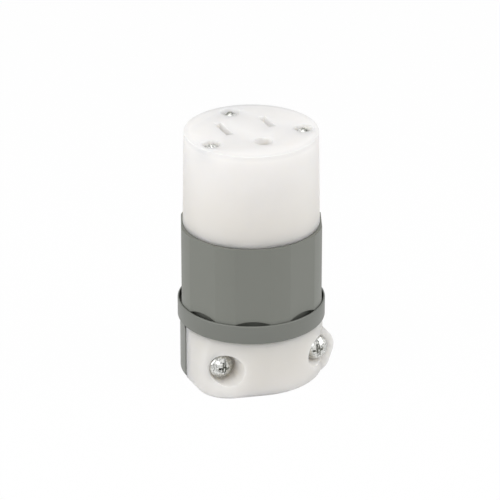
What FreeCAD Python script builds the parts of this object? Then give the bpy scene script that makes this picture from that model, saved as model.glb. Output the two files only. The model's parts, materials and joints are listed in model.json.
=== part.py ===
import FreeCAD, Part
import os
import Sketcher

doc = FreeCAD.newDocument("inline_power_connector")

# Driving sizes, in millimetres and degrees
SIZES = [
    # heights of the visible stack, from the base up
    ("clamp_height", 16.2),
    ("collar_height", 5.3),
    ("sleeve_show", 22.3),
    ("barrel_height", 26.6),
    # outer radii: the collar's, and how far the others stand back from it
    ("collar_radius", 20.2),
    ("neck_step", 0.65),
    ("sleeve_step", 0.55),
    ("barrel_step", 1.03),
    ("barrel_draft", 0.4),
    ("barrel_edge", 0.45),
    ("collar_edge", 0.2),
    ("neck_edge", 0.8),
    # grip sleeve
    ("sleeve_wall", 2.65),
    ("socket_depth", 2.0),
    ("socket_clearance", 0.1),
    ("flat_count", 8),
    ("flat_turn", 22.5),
    ("flat_width", 9.5),
    ("notch_rise", 0.95),
    ("notch_depth", 1.2),
    # socket face
    ("spigot_length", 5.0),
    ("spigot_clearance", 0.15),
    ("face_thickness", 6.0),
    ("blade_pitch", 12.7),
    ("blade_offset", 4.0),
    ("ground_pitch", 11.9),
    ("slot_width", 2.0),
    ("hot_slot_length", 7.2),
    ("neutral_slot_length", 8.8),
    ("ground_hole_radius", 2.6),
    # assembly screws
    ("face_screw_inset", 2.75),
    ("face_screw_spread", 107.0),
    ("face_screw_radius", 1.42),
    ("face_head_radius", 2.35),
    ("face_head_height", 1.9),
    ("face_head_sink", 0.3),
    ("face_head_clearance", 0.3),
    ("face_shank_clearance", 0.25),
    ("pilot_clearance", 0.05),
    ("pilot_end_clearance", 1.0),
    ("boss_radius", 2.6),
    ("boss_bite", 7.5),
    # cord clamp
    ("split_gap", 0.6),
    ("jaw_clearance", 0.3),
    ("cord_radius", 6.0),
    ("cord_mouth", 1.2),
    ("cord_land", 1.6),
    ("cord_groove", 1.1),
    ("cord_groove_depth", 0.8),
    ("throat_radius", 11.0),
    ("throat_depth", 1.5),
    ("clamp_screw_inset", 5.45),
    ("clamp_screw_rise", 7.9),
    ("lug_radius", 5.5),
    ("lug_foot_height", 4.5),
    ("lug_foot_radius", 4.3),
    ("lug_root_radius", 5.8),
    ("ear_inset", 1.0),
    ("ear_reach", 10.2),
    ("ear_radius", 6.0),
    ("ear_step", 0.15),
    ("ear_height", 10.0),
    ("seat_reach", 11.6),
    ("seat_radius", 4.4),
    ("clamp_screw_radius", 1.75),
    ("clamp_head_radius", 3.4),
    ("clamp_head_height", 2.2),
    ("clamp_hole_clearance", 0.3),
    ("clamp_tip_clearance", 0.9),
    ("insert_radius", 2.8),
    ("insert_length", 6.6),
    ("thread_clearance", 0.05),
    ("insert_clearance", 0.02),
    # retainer, contacts and terminals
    ("retainer_height", 10.0),
    ("retainer_clearance", 0.4),
    ("roof_thickness", 1.8),
    ("window_width", 9.4),
    ("strip_thickness", 0.8),
    ("strip_width", 6.4),
    ("strip_clearance", 0.2),
    ("leaf_gap", 1.6),
    ("leaf_height", 22.0),
    ("pin_gap_radius", 2.5),
    ("tab_inset", 4.2),
    ("tab_drop", 7.5),
    ("terminal_drop", 4.0),
    ("plate_thickness", 1.2),
    ("plate_width", 7.6),
    ("plate_height", 6.4),
    ("terminal_screw_radius", 1.6),
    ("terminal_head_radius", 3.0),
    ("terminal_head_height", 1.8),
    ("terminal_clearance", 0.1),
    ("terminal_tip_clearance", 0.5),
    # screw heads and drives, as shares of the head's radius or height
    ("screw_point", 0.4),
    ("brim_share", 0.5),
    ("crown_share", 0.62),
    ("slot_share", 0.155),
    ("slot_depth_share", 0.375),
    ("cross_share", 0.545),
    ("cross_depth_share", 0.65),
    # how far a cut starts outside its piece
    ("cut_margin", 5.0),
]

# Places and fits that follow from the driving sizes
PLACES = [
    ("collar_top", "sizes.clamp_height + sizes.collar_height"),
    ("seam", "collar_top + sizes.sleeve_show"),
    ("top", "seam + sizes.barrel_height"),
    ("neck_radius", "sizes.collar_radius - sizes.neck_step"),
    ("neck_foot_radius", "neck_radius - sizes.neck_edge"),
    ("collar_face_radius", "sizes.collar_radius - sizes.collar_edge"),
    ("collar_low_edge", "sizes.clamp_height + sizes.collar_edge"),
    ("collar_high_edge", "collar_top - sizes.collar_edge"),
    ("sleeve_radius", "sizes.collar_radius - sizes.sleeve_step"),
    ("barrel_base_radius", "sleeve_radius - sizes.barrel_step"),
    ("barrel_top_radius", "barrel_base_radius - sizes.barrel_draft"),
    ("clear_half", "sizes.collar_radius + sizes.cut_margin"),
    # grip sleeve
    ("socket_floor", "collar_top - sizes.socket_depth"),
    ("socket_radius", "sleeve_radius + sizes.socket_clearance"),
    ("sleeve_bore", "sleeve_radius - sizes.sleeve_wall"),
    ("sleeve_length", "seam - socket_floor"),
    ("flat_half", "sizes.flat_width / 2"),
    ("flat_reach", "sqrt(sleeve_radius ^ 2 - flat_half ^ 2)"),
    ("notch_floor", "flat_reach - sizes.notch_depth"),
    ("notch_cut", "clear_half - notch_floor"),
    ("notch_top", "collar_top + sizes.notch_rise"),
    ("notch_arc", "(flat_half ^ 2 + sizes.notch_rise ^ 2) / (2 * sizes.notch_rise)"),
    # socket face
    ("spigot_radius", "sleeve_bore - sizes.spigot_clearance"),
    ("spigot_bottom", "seam - sizes.spigot_length"),
    ("pocket_top", "top - sizes.face_thickness"),
    ("pocket_depth", "pocket_top - spigot_bottom"),
    ("barrel_length", "top - spigot_bottom"),
    ("hot_x", "sizes.blade_pitch / 2"),
    ("blade_y", "sizes.blade_offset"),
    ("ground_y", "sizes.blade_offset - sizes.ground_pitch"),
    ("slot_near", "hot_x - sizes.slot_width / 2"),
    ("slot_far", "hot_x + sizes.slot_width / 2"),
    ("hot_slot_low", "blade_y - sizes.hot_slot_length / 2"),
    ("hot_slot_high", "blade_y + sizes.hot_slot_length / 2"),
    ("neutral_slot_low", "blade_y - sizes.neutral_slot_length / 2"),
    ("neutral_slot_high", "blade_y + sizes.neutral_slot_length / 2"),
    ("leaf_half", "sizes.leaf_gap / 2"),
    ("leaf_outside", "leaf_half + sizes.strip_thickness"),
    ("strip_half", "sizes.strip_width / 2"),
    ("pocket_near", "hot_x - leaf_outside - sizes.strip_clearance"),
    ("pocket_far", "hot_x + leaf_outside + sizes.strip_clearance"),
    ("pocket_half", "strip_half + sizes.strip_clearance"),
    ("pocket_low", "blade_y - pocket_half"),
    ("pocket_high", "blade_y + pocket_half"),
    ("pin_outside", "sizes.pin_gap_radius + sizes.strip_thickness"),
    ("pin_pocket", "max(pin_outside; hypot(strip_half; leaf_outside)) + sizes.strip_clearance"),
    # assembly screws
    ("face_circle", "spigot_radius - sizes.face_screw_inset"),
    ("face_x", "face_circle * sin(sizes.face_screw_spread * 1deg)"),
    ("face_y", "face_circle * cos(sizes.face_screw_spread * 1deg)"),
    ("face_hole_radius", "sizes.face_screw_radius + sizes.face_shank_clearance"),
    ("face_sink_radius", "sizes.face_head_radius + sizes.face_head_clearance"),
    ("face_seat", "top - sizes.face_head_sink - sizes.face_head_height"),
    ("face_sink_depth", "top - face_seat"),
    ("retainer_floor", "spigot_bottom - sizes.retainer_height"),
    ("retainer_radius", "sleeve_bore - sizes.retainer_clearance"),
    ("boss_height", "retainer_floor - socket_floor"),
    ("pilot_radius", "sizes.face_screw_radius + sizes.pilot_clearance"),
    ("pilot_depth", "sizes.boss_bite + sizes.pilot_end_clearance"),
    ("face_length", "face_seat - retainer_floor + sizes.boss_bite"),
    # cord clamp
    ("jaw_top", "sizes.clamp_height - sizes.jaw_clearance"),
    ("rear_split", "sizes.split_gap / 2"),
    ("jaw_split", "-sizes.split_gap / 2"),
    ("mouth_radius", "sizes.cord_radius + sizes.cord_mouth"),
    ("groove_radius", "sizes.cord_radius + sizes.cord_groove_depth"),
    ("land_1", "sizes.cord_mouth + sizes.cord_land"),
    ("groove_1", "land_1 + sizes.cord_groove"),
    ("land_2", "groove_1 + sizes.cord_land"),
    ("groove_2", "land_2 + sizes.cord_groove"),
    ("land_3", "groove_2 + sizes.cord_land"),
    ("throat_foot", "jaw_top - sizes.throat_depth"),
    ("screw_x", "neck_radius - sizes.clamp_screw_inset"),
    ("screw_z", "sizes.clamp_screw_rise"),
    ("lug_root_x", "screw_x + sizes.lug_radius - sizes.lug_root_radius"),
    ("ear_x", "screw_x - sizes.ear_inset"),
    ("ear_foot_radius", "sizes.ear_radius - sizes.neck_edge"),
    ("ear_top_offset", "neck_radius - sizes.ear_radius + sizes.ear_step"),
    ("ear_top_share", "ear_top_offset / hypot(ear_x; sizes.ear_reach)"),
    ("ear_top_x", "ear_x * ear_top_share"),
    ("ear_top_reach", "sizes.ear_reach * ear_top_share"),
    ("jaw_hole_radius", "sizes.clamp_screw_radius + sizes.clamp_hole_clearance"),
    ("insert_bore", "sizes.clamp_screw_radius + sizes.thread_clearance"),
    ("insert_hole_radius", "sizes.insert_radius + sizes.insert_clearance"),
    ("clamp_length", "sizes.seat_reach + rear_split + sizes.insert_length - sizes.clamp_tip_clearance"),
    # retainer, contacts and terminals
    ("window_half", "sizes.window_width / 2"),
    ("window_high", "blade_y + window_half"),
    ("window_low", "blade_y - window_half"),
    ("window_inner", "hot_x + leaf_half - sizes.strip_clearance"),
    ("ground_window_inner", "ground_y - leaf_half + sizes.strip_clearance"),
    ("window_depth", "sizes.retainer_height - sizes.roof_thickness"),
    ("tail_far", "hot_x + leaf_outside + sizes.strip_clearance"),
    ("ground_tail_far", "ground_y - leaf_outside - sizes.strip_clearance"),
    ("roof_bottom", "spigot_bottom - sizes.roof_thickness"),
    ("run_bottom", "roof_bottom - sizes.strip_thickness"),
    ("web_top", "spigot_bottom + sizes.strip_thickness"),
    ("leaf_top", "spigot_bottom + sizes.leaf_height"),
    ("tab_reach", "retainer_radius - sizes.tab_inset"),
    ("tab_bottom", "roof_bottom - sizes.tab_drop"),
    ("terminal_z", "roof_bottom - sizes.terminal_drop"),
    ("blade_tab", "tab_reach - hot_x"),
    ("blade_tab_inner", "blade_tab - sizes.strip_thickness"),
    ("ground_tab", "tab_reach + ground_y"),
    ("ground_tab_inner", "ground_tab - sizes.strip_thickness"),
    ("tab_hole_radius", "sizes.terminal_screw_radius + sizes.terminal_clearance"),
    ("plate_reach", "tab_reach + sizes.plate_thickness"),
    ("plate_half", "sizes.plate_width / 2"),
    ("plate_half_height", "sizes.plate_height / 2"),
    ("terminal_length", "plate_reach + ground_window_inner - sizes.terminal_tip_clearance"),
]
for kind in ("face", "clamp", "terminal"):
    PLACES += [
        (kind + "_tip_radius", "sizes.%s_screw_radius - sizes.screw_point" % kind),
        (kind + "_tip_start", "%s_length - sizes.screw_point" % kind),
        (kind + "_brim", "sizes.%s_head_height * sizes.brim_share" % kind),
        (kind + "_crown", "sizes.%s_head_radius * sizes.crown_share" % kind),
        (kind + "_slot", "sizes.%s_head_radius * sizes.slot_share" % kind),
        (kind + "_slot_depth", "sizes.%s_head_height * sizes.slot_depth_share" % kind),
        (kind + "_cross", "sizes.%s_head_radius * sizes.cross_share" % kind),
        (kind + "_cross_depth", "sizes.%s_head_height * sizes.cross_depth_share" % kind),
    ]

sizes = doc.addObject("Spreadsheet::Sheet", "sizes")
for row, (alias, value) in enumerate(SIZES, start=1):
    sizes.set("A%d" % row, alias.replace("_", " "))
    sizes.set("B%d" % row, str(value))
    sizes.setAlias("B%d" % row, alias)

places = doc.addObject("Spreadsheet::Sheet", "places")
for row, (alias, formula) in enumerate(PLACES, start=1):
    places.set("A%d" % row, alias.replace("_", " "))
    places.setAlias("B%d" % row, alias)
    places.set("B%d" % row, "=" + formula)
doc.recompute()

DRIVING = [alias for alias, value in SIZES]


def bound(name):
    """The expression of a named size or place, with an optional leading minus."""
    bare = name.lstrip("-")
    sheet = "sizes." if bare in DRIVING else "places."
    return name.replace(bare, sheet + bare)


def number(name):
    """The present value of a named size or place."""
    bare = name.lstrip("-")
    if bare == "0":
        return 0.0
    sheet = sizes if bare in DRIVING else places
    value = float(sheet.get(bare))
    return -value if name.startswith("-") else value


def new_body(label):
    body = doc.addObject("PartDesign::Body", label)
    body.Label = label
    return body


def origin_feature(body, role):
    return [item for item in body.Origin.OriginFeatures if item.Role == role][0]


def new_sketch(body, plane, height="0"):
    """A sketch on an origin plane of the body, moved along its normal."""
    sketch = body.newObject("Sketcher::SketchObject", body.Label + "_sketch")
    sketch.AttachmentSupport = [(origin_feature(body, plane), "")]
    sketch.MapMode = "FlatFace"
    if height != "0":
        sketch.setExpression("AttachmentOffset.Base.z", bound(height))
    return sketch


def pin_point(sketch, geometry, position, across, up):
    """Ties a point of the sketch to two named values."""
    for kind, axis, name in (("DistanceX", -2, across), ("DistanceY", -1, up)):
        if name == "0":
            sketch.addConstraint(Sketcher.Constraint("PointOnObject", geometry, position, axis))
        else:
            index = sketch.addConstraint(Sketcher.Constraint(kind, geometry, position, number(name)))
            sketch.setExpression("Constraints[%d]" % index, bound(name))


def draw_outline(sketch, corners):
    """A closed outline of straight lines through corners given by named values."""
    first = sketch.GeometryCount
    points = [FreeCAD.Vector(number(across), number(up), 0) for across, up in corners]
    for start, end in zip(points, points[1:] + points[:1]):
        sketch.addGeometry(Part.LineSegment(start, end), False)
    for step, (across, up) in enumerate(corners):
        after = (step + 1) % len(corners)
        sketch.addConstraint(Sketcher.Constraint("Coincident", first + step, 2, first + after, 1))
        pin_point(sketch, first + step, 1, across, up)


def draw_box(sketch, left, right, low, high):
    draw_outline(sketch, [(left, low), (right, low), (right, high), (left, high)])


def draw_circle(sketch, across, up, radius):
    centre = FreeCAD.Vector(number(across), number(up), 0)
    circle = Part.Circle(centre, FreeCAD.Vector(0, 0, 1), number(radius))
    geometry = sketch.addGeometry(circle, False)
    pin_point(sketch, geometry, 3, across, up)
    index = sketch.addConstraint(Sketcher.Constraint("Radius", geometry, number(radius)))
    sketch.setExpression("Constraints[%d]" % index, bound(radius))


def add_feature(body, kind, sketch, length, reverse=False):
    """A pad or pocket of the sketch, as long as the named value."""
    feature = body.newObject("PartDesign::" + kind, body.Label + "_" + kind.lower())
    feature.Profile = sketch
    feature.setExpression("Length", bound(length))
    feature.Reversed = reverse
    sketch.Visibility = False
    doc.recompute()
    return feature


def add_turning(body, kind, sketch):
    """A revolution or groove of the sketch about the main axis."""
    feature = body.newObject("PartDesign::" + kind, body.Label + "_" + kind.lower())
    feature.Profile = sketch
    feature.ReferenceAxis = (sketch, ["V_Axis"])
    feature.Angle = 360
    sketch.Visibility = False
    doc.recompute()
    return feature


def round_rim(body, size):
    """A fillet on the highest full circle of the body."""
    base = body.Tip
    rings = [at for at, edge in enumerate(base.Shape.Edges, start=1) if edge.isClosed()]
    rim = max(rings, key=lambda at: base.Shape.Edges[at - 1].BoundBox.ZMin)
    feature = body.newObject("PartDesign::Fillet", body.Label + "_fillet")
    feature.Base = (base, ["Edge%d" % rim])
    feature.setExpression("Radius", bound(size))
    doc.recompute()


def place(body, across, along, up, turn=None):
    """Puts the body at three named values, turned by an axis and an angle."""
    if turn:
        axis, angle = turn
        body.Placement = FreeCAD.Placement(FreeCAD.Vector(), FreeCAD.Rotation(axis, angle))
    for axis_name, name in zip("xyz", (across, along, up)):
        if name != "0":
            body.setExpression("Placement.Base." + axis_name, bound(name))


X_AXIS = FreeCAD.Vector(1, 0, 0)
Y_AXIS = FreeCAD.Vector(0, 1, 0)
Z_AXIS = FreeCAD.Vector(0, 0, 1)
FACE_SCREWS = [
    ("face_screw_rear", "0", "face_circle"),
    ("face_screw_left", "-face_x", "face_y"),
    ("face_screw_right", "face_x", "face_y"),
]


def make_front_body():
    """White barrel with the socket face, contact pockets and sunk screw holes."""
    body = new_body("front_body")
    profile = new_sketch(body, "XZ_Plane")
    draw_outline(profile, [
        ("0", "spigot_bottom"),
        ("spigot_radius", "spigot_bottom"),
        ("spigot_radius", "seam"),
        ("barrel_base_radius", "seam"),
        ("barrel_top_radius", "top"),
        ("0", "top"),
    ])
    add_turning(body, "Revolution", profile)
    round_rim(body, "barrel_edge")

    slots = new_sketch(body, "XY_Plane", "top")
    draw_box(slots, "slot_near", "slot_far", "hot_slot_low", "hot_slot_high")
    draw_box(slots, "-slot_far", "-slot_near", "neutral_slot_low", "neutral_slot_high")
    draw_circle(slots, "0", "ground_y", "ground_hole_radius")
    add_feature(body, "Pocket", slots, "face_thickness")

    pockets = new_sketch(body, "XY_Plane", "spigot_bottom")
    draw_box(pockets, "pocket_near", "pocket_far", "pocket_low", "pocket_high")
    draw_box(pockets, "-pocket_far", "-pocket_near", "pocket_low", "pocket_high")
    draw_circle(pockets, "0", "ground_y", "pin_pocket")
    add_feature(body, "Pocket", pockets, "pocket_depth", reverse=True)

    sinks = new_sketch(body, "XY_Plane", "top")
    holes = new_sketch(body, "XY_Plane", "top")
    for label, across, along in FACE_SCREWS:
        draw_circle(sinks, across, along, "face_sink_radius")
        draw_circle(holes, across, along, "face_hole_radius")
    add_feature(body, "Pocket", sinks, "face_sink_depth")
    add_feature(body, "Pocket", holes, "barrel_length")
    return body


def make_grip_sleeve():
    """Grey sleeve with eight finger flats, each with an arched notch at its foot."""
    body = new_body("grip_sleeve")
    ring = new_sketch(body, "XY_Plane", "socket_floor")
    draw_circle(ring, "0", "0", "sleeve_radius")
    draw_circle(ring, "0", "0", "sleeve_bore")
    add_feature(body, "Pad", ring, "sleeve_length")

    flat = new_sketch(body, "XY_Plane", "seam")
    draw_box(flat, "flat_reach", "clear_half", "-flat_width", "flat_width")
    flat_cut = add_feature(body, "Pocket", flat, "sleeve_length")

    notch = new_sketch(body, "YZ_Plane", "clear_half")
    half, foot, shoulder = number("flat_half"), number("socket_floor"), number("collar_top")
    left_foot = FreeCAD.Vector(-half, foot, 0)
    right_foot = FreeCAD.Vector(half, foot, 0)
    left_shoulder = FreeCAD.Vector(-half, shoulder, 0)
    right_shoulder = FreeCAD.Vector(half, shoulder, 0)
    crown = FreeCAD.Vector(0, number("notch_top"), 0)
    notch.addGeometry(Part.LineSegment(left_foot, right_foot), False)
    notch.addGeometry(Part.LineSegment(right_foot, right_shoulder), False)
    notch.addGeometry(Part.Arc(right_shoulder, crown, left_shoulder), False)
    notch.addGeometry(Part.LineSegment(left_shoulder, left_foot), False)
    for first, end, second, start in ((0, 2, 1, 1), (1, 2, 2, 1), (2, 2, 3, 1), (3, 2, 0, 1)):
        notch.addConstraint(Sketcher.Constraint("Coincident", first, end, second, start))
    pin_point(notch, 0, 1, "-flat_half", "socket_floor")
    pin_point(notch, 0, 2, "flat_half", "socket_floor")
    pin_point(notch, 1, 2, "flat_half", "collar_top")
    pin_point(notch, 3, 1, "-flat_half", "collar_top")
    index = notch.addConstraint(Sketcher.Constraint("Radius", 2, number("notch_arc")))
    notch.setExpression("Constraints[%d]" % index, bound("notch_arc"))
    notch_cut = add_feature(body, "Pocket", notch, "notch_cut")

    pattern = body.newObject("PartDesign::PolarPattern", "grip_sleeve_pattern")
    pattern.Originals = [flat_cut, notch_cut]
    pattern.Axis = (origin_feature(body, "Z_Axis"), [""])
    pattern.Angle = 360
    pattern.setExpression("Occurrences", bound("flat_count"))
    body.Tip = pattern
    doc.recompute()
    body.Placement.Rotation.Axis = Z_AXIS
    body.setExpression("Placement.Rotation.Angle", bound("flat_turn"))
    return body


def cord_passage(top):
    """Half profile of the cord passage from the base up to the named height."""
    return [
        ("throat_radius", top),
        ("throat_radius", "throat_foot"),
        ("cord_radius", "land_3"),
        ("cord_radius", "groove_2"),
        ("groove_radius", "groove_2"),
        ("groove_radius", "land_2"),
        ("cord_radius", "land_2"),
        ("cord_radius", "groove_1"),
        ("groove_radius", "groove_1"),
        ("groove_radius", "land_1"),
        ("cord_radius", "land_1"),
        ("cord_radius", "cord_mouth"),
        ("mouth_radius", "0"),
    ]


def make_back_housing():
    """Grey collar with the sleeve socket, and the rear half of the cord clamp below it."""
    body = new_body("back_housing")
    profile = new_sketch(body, "XZ_Plane")
    draw_outline(profile, cord_passage("socket_floor") + [
        ("neck_foot_radius", "0"),
        ("neck_radius", "neck_edge"),
        ("neck_radius", "clamp_height"),
        ("collar_face_radius", "clamp_height"),
        ("collar_radius", "collar_low_edge"),
        ("collar_radius", "collar_high_edge"),
        ("collar_face_radius", "collar_top"),
        ("socket_radius", "collar_top"),
        ("socket_radius", "socket_floor"),
    ])
    add_turning(body, "Revolution", profile)

    front_half = new_sketch(body, "XY_Plane")
    draw_box(front_half, "-clear_half", "clear_half", "-clear_half", "rear_split")
    add_feature(body, "Pocket", front_half, "clamp_height", reverse=True)

    bosses = new_sketch(body, "XY_Plane", "socket_floor")
    pilots = new_sketch(body, "XY_Plane", "retainer_floor")
    for label, across, along in FACE_SCREWS:
        draw_circle(bosses, across, along, "boss_radius")
        draw_circle(pilots, across, along, "pilot_radius")
    add_feature(body, "Pad", bosses, "boss_height")
    add_feature(body, "Pocket", pilots, "pilot_depth")

    inserts = new_sketch(body, "XZ_Plane", "-rear_split")
    for across in ("-screw_x", "screw_x"):
        draw_circle(inserts, across, "screw_z", "insert_hole_radius")
    add_feature(body, "Pocket", inserts, "insert_length")
    return body


def draw_hull(sketch, large, small):
    """Outline round two circles, each given by its centre and radius, with two tangent lines."""
    centre = FreeCAD.Vector(number(large[0]), number(large[1]), 0)
    tip = FreeCAD.Vector(number(small[0]), number(small[1]), 0)
    big, little = number(large[2]), number(small[2])
    out = (tip - centre).normalize()
    across = FreeCAD.Vector(-out.y, out.x, 0)
    lean = (big - little) / (tip - centre).Length
    right = out * lean + across * (1 - lean ** 2) ** 0.5
    left = out * lean - across * (1 - lean ** 2) ** 0.5
    sketch.addGeometry(Part.Arc(centre + right * big, centre - out * big, centre + left * big), False)
    sketch.addGeometry(Part.LineSegment(centre + left * big, tip + left * little), False)
    sketch.addGeometry(Part.Arc(tip + left * little, tip + out * little, tip + right * little), False)
    sketch.addGeometry(Part.LineSegment(tip + right * little, centre + right * big), False)
    for step in range(4):
        sketch.addConstraint(Sketcher.Constraint("Tangent", step, 2, (step + 1) % 4, 1))
    for arc, (across_name, up_name, radius) in ((0, large), (2, small)):
        pin_point(sketch, arc, 3, across_name, up_name)
        index = sketch.addConstraint(Sketcher.Constraint("Radius", arc, number(radius)))
        sketch.setExpression("Constraints[%d]" % index, bound(radius))


def add_loft(body, sections):
    """Straight-sided loft through the sketches, from first to last."""
    loft = body.newObject("PartDesign::AdditiveLoft", body.Label + "_loft")
    loft.Profile = sections[0]
    loft.Sections = sections[1:]
    loft.Ruled = True
    doc.recompute()


def add_eared_round(body):
    """Round of the jaw, drawn out at its foot into an ear on the left that fades away upwards."""
    foot = ("-ear_x", "-ear_reach", "ear_foot_radius")
    full = ("-ear_x", "-ear_reach", "ear_radius")
    faded = ("-ear_top_x", "-ear_top_reach", "ear_radius")
    sections = []
    for height, radius, ear in (
        ("0", "neck_foot_radius", foot),
        ("neck_edge", "neck_radius", full),
        ("ear_height", "neck_radius", faded),
        ("jaw_top", "neck_radius", faded),
    ):
        section = new_sketch(body, "XY_Plane", height)
        draw_hull(section, ("0", "0", radius), ear)
        sections.append(section)
    add_loft(body, sections)


def add_lug(body):
    """Lug of the right screw: it grows out of the round and ends flush with the screw seat."""
    foot = ("screw_x", "lug_foot_height", "lug_foot_radius")
    root = new_sketch(body, "XZ_Plane", "rear_split")
    draw_hull(root, ("lug_root_x", "screw_z", "lug_root_radius"), foot)
    face = new_sketch(body, "XZ_Plane", "seat_reach")
    draw_hull(face, ("screw_x", "screw_z", "lug_radius"), foot)
    add_loft(body, [root, face])


def make_cord_clamp_jaw():
    """White front half of the cord clamp, with an ear or a lug and a sunk seat for each screw."""
    body = new_body("cord_clamp_jaw")
    add_eared_round(body)

    rear_half = new_sketch(body, "XY_Plane")
    draw_box(rear_half, "-clear_half", "clear_half", "jaw_split", "clear_half")
    add_feature(body, "Pocket", rear_half, "clamp_height", reverse=True)

    add_lug(body)
    passage = new_sketch(body, "XZ_Plane")
    draw_outline(passage, [("0", "jaw_top")] + cord_passage("jaw_top") + [("0", "0")])
    add_turning(body, "Groove", passage)
    seats = new_sketch(body, "XZ_Plane", "seat_reach")
    holes = new_sketch(body, "XZ_Plane", "seat_reach")
    for across in ("-screw_x", "screw_x"):
        draw_circle(seats, across, "screw_z", "seat_radius")
        draw_circle(holes, across, "screw_z", "jaw_hole_radius")
    add_feature(body, "Pocket", seats, "clear_half", reverse=True)
    add_feature(body, "Pocket", holes, "seat_reach")
    return body


def make_screw(label, kind):
    """Pan head screw with a combined slot and cross drive, head up, seat at the origin."""
    body = new_body(label)
    head, height = kind + "_head_radius", kind + "_head_height"
    profile = new_sketch(body, "XZ_Plane")
    draw_outline(profile, [
        ("0", "-" + kind + "_length"),
        (kind + "_tip_radius", "-" + kind + "_length"),
        (kind + "_screw_radius", "-" + kind + "_tip_start"),
        (kind + "_screw_radius", "0"),
        (head, "0"),
        (head, kind + "_brim"),
        (kind + "_crown", height),
        ("0", height),
    ])
    add_turning(body, "Revolution", profile)

    slot, cross = kind + "_slot", kind + "_cross"
    groove = new_sketch(body, "XY_Plane", height)
    draw_box(groove, "-" + head, head, "-" + slot, slot)
    add_feature(body, "Pocket", groove, kind + "_slot_depth")
    for half_width, half_height in ((cross, slot), (slot, cross)):
        arm = new_sketch(body, "XY_Plane", height)
        draw_box(arm, "-" + half_width, half_width, "-" + half_height, half_height)
        add_feature(body, "Pocket", arm, kind + "_cross_depth")
    return body


def make_insert(label, across):
    """Threaded brass insert, flush with the split face of the rear clamp half."""
    body = new_body(label)
    ring = new_sketch(body, "XY_Plane")
    draw_circle(ring, "0", "0", "insert_radius")
    draw_circle(ring, "0", "0", "insert_bore")
    add_feature(body, "Pad", ring, "insert_length")
    place(body, across, "rear_split", "screw_z", (X_AXIS, -90))
    return body


def make_contact_retainer():
    """Insulating block behind the barrel, with an open bay for each terminal."""
    body = new_body("contact_retainer")
    disc = new_sketch(body, "XY_Plane", "retainer_floor")
    draw_circle(disc, "0", "0", "retainer_radius")
    add_feature(body, "Pad", disc, "retainer_height")

    bays = new_sketch(body, "XY_Plane", "retainer_floor")
    draw_box(bays, "window_inner", "clear_half", "window_low", "window_high")
    draw_box(bays, "-clear_half", "-window_inner", "window_low", "window_high")
    draw_box(bays, "-window_half", "window_half", "-clear_half", "ground_window_inner")
    add_feature(body, "Pocket", bays, "window_depth", reverse=True)

    tails = new_sketch(body, "XY_Plane", "spigot_bottom")
    draw_box(tails, "window_inner", "tail_far", "pocket_low", "pocket_high")
    draw_box(tails, "-tail_far", "-window_inner", "pocket_low", "pocket_high")
    draw_box(tails, "-pocket_half", "pocket_half", "ground_tail_far", "ground_window_inner")
    add_feature(body, "Pocket", tails, "roof_thickness")

    holes = new_sketch(body, "XY_Plane", "spigot_bottom")
    for label, across, along in FACE_SCREWS:
        draw_circle(holes, across, along, "face_hole_radius")
    add_feature(body, "Pocket", holes, "retainer_height")
    return body


def tail_corners(tab, tab_inner):
    """Strip that leaves the contact, passes the retainer and ends as the terminal tab."""
    return [
        ("leaf_half", "run_bottom"),
        (tab_inner, "run_bottom"),
        (tab_inner, "tab_bottom"),
        (tab, "tab_bottom"),
        (tab, "roof_bottom"),
        ("leaf_outside", "roof_bottom"),
    ]


def drill_tab(body, tab):
    """Hole of the terminal screw through the tab."""
    hole = new_sketch(body, "YZ_Plane", tab)
    draw_circle(hole, "0", "terminal_z", "tab_hole_radius")
    add_feature(body, "Pocket", hole, "strip_width")


def make_blade_contact(label, side):
    """Folded brass strip with two spring leaves that grip a flat blade."""
    body = new_body(label)
    strip = new_sketch(body, "XZ_Plane", "-strip_half")
    draw_outline(strip, tail_corners("blade_tab", "blade_tab_inner") + [
        ("leaf_outside", "leaf_top"),
        ("leaf_half", "leaf_top"),
        ("leaf_half", "web_top"),
        ("-leaf_half", "web_top"),
        ("-leaf_half", "leaf_top"),
        ("-leaf_outside", "leaf_top"),
        ("-leaf_outside", "spigot_bottom"),
        ("leaf_half", "spigot_bottom"),
    ])
    add_feature(body, "Pad", strip, "strip_width")
    drill_tab(body, "blade_tab")
    turn = None if side == "hot" else (Z_AXIS, 180)
    place(body, "hot_x" if side == "hot" else "-hot_x", "blade_y", "0", turn)
    return body


def make_ground_contact():
    """Round brass socket for the ground pin, on a strip that ends as its terminal tab."""
    body = new_body("ground_contact")
    tube = new_sketch(body, "XY_Plane", "spigot_bottom")
    draw_circle(tube, "0", "0", "pin_outside")
    draw_circle(tube, "0", "0", "pin_gap_radius")
    add_feature(body, "Pad", tube, "leaf_height")
    floor = new_sketch(body, "XY_Plane", "spigot_bottom")
    draw_circle(floor, "0", "0", "pin_outside")
    add_feature(body, "Pad", floor, "strip_thickness")
    strip = new_sketch(body, "XZ_Plane", "-strip_half")
    draw_outline(strip, tail_corners("ground_tab", "ground_tab_inner") + [
        ("leaf_outside", "web_top"),
        ("leaf_half", "web_top"),
    ])
    add_feature(body, "Pad", strip, "strip_width")
    drill_tab(body, "ground_tab")
    place(body, "0", "ground_y", "0", (Z_AXIS, -90))
    return body


def make_wire_plate(label, across, along, angle):
    """Square plate that presses the conductor against the terminal tab."""
    body = new_body(label)
    plate = new_sketch(body, "YZ_Plane", "tab_reach")
    draw_box(plate, "-plate_half", "plate_half", "-plate_half_height", "plate_half_height")
    draw_circle(plate, "0", "0", "tab_hole_radius")
    add_feature(body, "Pad", plate, "plate_thickness")
    place(body, across, along, "terminal_z", (Z_AXIS, angle))
    return body


def make_terminal_screw(label, across, along, turn):
    body = make_screw(label, "terminal")
    place(body, across, along, "terminal_z", turn)
    return body


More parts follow.
